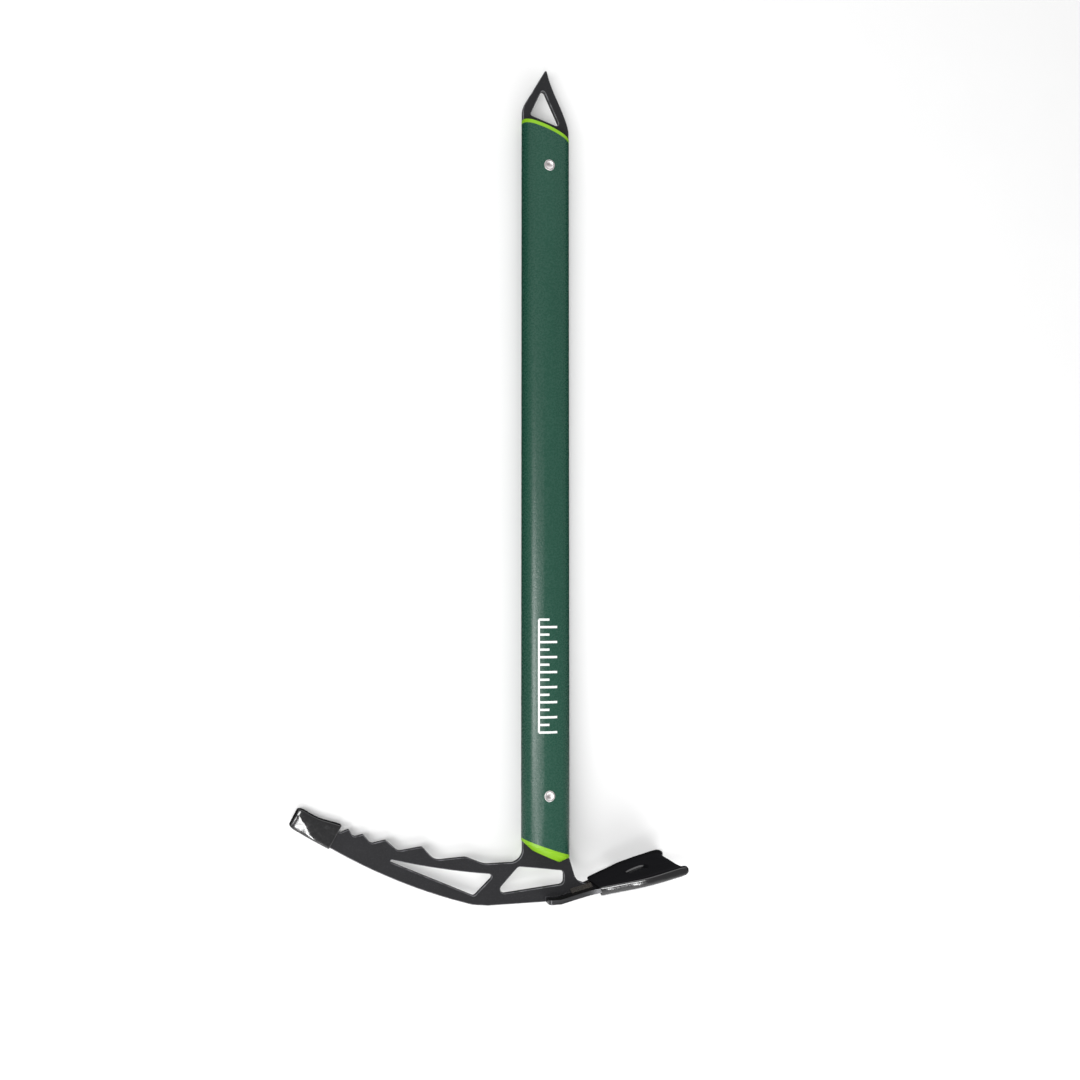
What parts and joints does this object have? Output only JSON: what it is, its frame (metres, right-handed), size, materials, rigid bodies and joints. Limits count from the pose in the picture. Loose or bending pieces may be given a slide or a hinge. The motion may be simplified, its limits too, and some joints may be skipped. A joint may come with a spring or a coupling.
{
  "type": "ice axe",
  "caption": "Short straight ice axe: oval alloy shaft, toothed steel pick with cut-outs, drooped adze, pierced spike, lime end collars and pull-off black caps.",
  "frame": {"origin": "on the shaft's axis, in the head plate's mid plane, level with the head's top line", "axes": "+Y along the shaft's axis towards the spike, +X towards the adze, -X towards the pick, XY is the mid plane of the head plate"},
  "size_m": [0.262, 0.5664, 0.057],
  "materials": {
    "green_shaft": "satin green anodised, fine blasted grain",
    "dark_steel": "dark grey satin coat on steel plate, bevelled edges worn brighter",
    "adze_steel": "grey satin steel, ground edge",
    "lime_plastic": "satin moulded",
    "rivet_metal": "bright, dished",
    "black_pvc": "glossy dip-moulded",
    "white_print": "thin printed ink"
  },
  "bodies": {
    "axe": {"shaft_tube": "green_shaft", "pick_blade": "dark_steel", "adze_blade": "adze_steel", "adze_welds": "adze_steel", "head_plug": "lime_plastic", "head_rivet": "rivet_metal", "spike_blade": "dark_steel", "spike_plug": "lime_plastic", "spike_rivet": "rivet_metal"},
    "pick_cap": {"pick_cap": "black_pvc"},
    "adze_cap": {"adze_cap": "black_pvc"}
  },
  "joints": [
    {"name": "pick_cap_slide", "type": "slide", "parent": "axe", "child": "pick_cap", "axis": [-0.8771, 0.4802, 0], "range_m": [0, 0.036]},
    {"name": "adze_cap_slide", "type": "slide", "parent": "axe", "child": "adze_cap", "axis": [0.9724, 0.2334, 0], "range_m": [0, 0.066]}
  ]
}
